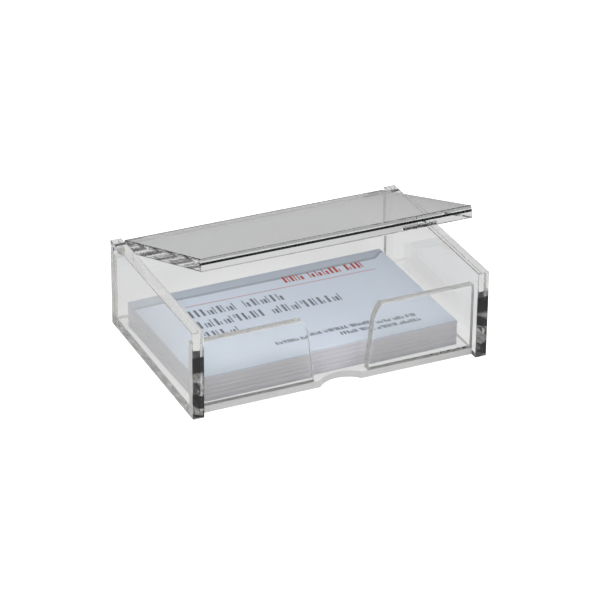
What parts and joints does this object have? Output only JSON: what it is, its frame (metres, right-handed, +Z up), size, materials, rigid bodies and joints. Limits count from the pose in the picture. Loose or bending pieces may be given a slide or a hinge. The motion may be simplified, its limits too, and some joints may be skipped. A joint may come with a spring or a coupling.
{
  "type": "business card box",
  "caption": "Clear acrylic card box with a hinged lid, a thumb gap between two front panels and a stack of cards inside.",
  "frame": {"origin": "centre of the box's footprint, on the surface it stands on", "axes": "+X to the right seen from the front, +Y to the back where the lid is hinged, +Z up"},
  "size_m": [0.104, 0.07, 0.0537],
  "materials": {
    "clear_acrylic": "clear cast sheet, polished edges",
    "pin_steel": "drawn steel pin",
    "card_stock": "smooth uncoated card",
    "printed_card": "smooth card, printed"
  },
  "bodies": {
    "box": {"base": "clear_acrylic", "left_side": "clear_acrylic", "right_side": "clear_acrylic", "back_panel": "clear_acrylic", "front_panel_left": "clear_acrylic", "front_panel_right": "clear_acrylic", "hinge_pin_left": "pin_steel", "hinge_pin_right": "pin_steel"},
    "lid": {"lid": "clear_acrylic"},
    "card_stack": {"card_01": "card_stock", "card_02": "card_stock", "card_03": "card_stock", "card_04": "card_stock", "card_05": "card_stock", "card_06": "card_stock", "card_07": "card_stock", "card_08": "card_stock", "card_09": "card_stock", "card_10": "card_stock", "card_11": "card_stock", "card_12": "card_stock", "card_13": "card_stock", "card_14": "card_stock", "card_15": "card_stock", "card_16": "card_stock", "card_17": "card_stock", "card_18": "card_stock", "card_19": "card_stock", "card_20": "card_stock", "card_21": "card_stock", "card_22": "card_stock", "card_23": "card_stock", "card_24": "card_stock"},
    "top_card": {"top_card": "printed_card"}
  },
  "joints": [
    {"name": "lid_hinge", "type": "hinge", "parent": "box", "child": "lid", "pos_m": [0, 0.032, 0.0289], "axis": [-1, 0, 0], "range_deg": [-21, 179]},
    {"name": "card_stack_lift", "type": "slide", "parent": "box", "child": "card_stack", "axis": [0, 0, 1], "range_m": [0, 0.006]},
    {"name": "top_card_lift", "type": "slide", "parent": "card_stack", "child": "top_card", "axis": [0, 0, 1], "range_m": [0, 0.006]}
  ]
}
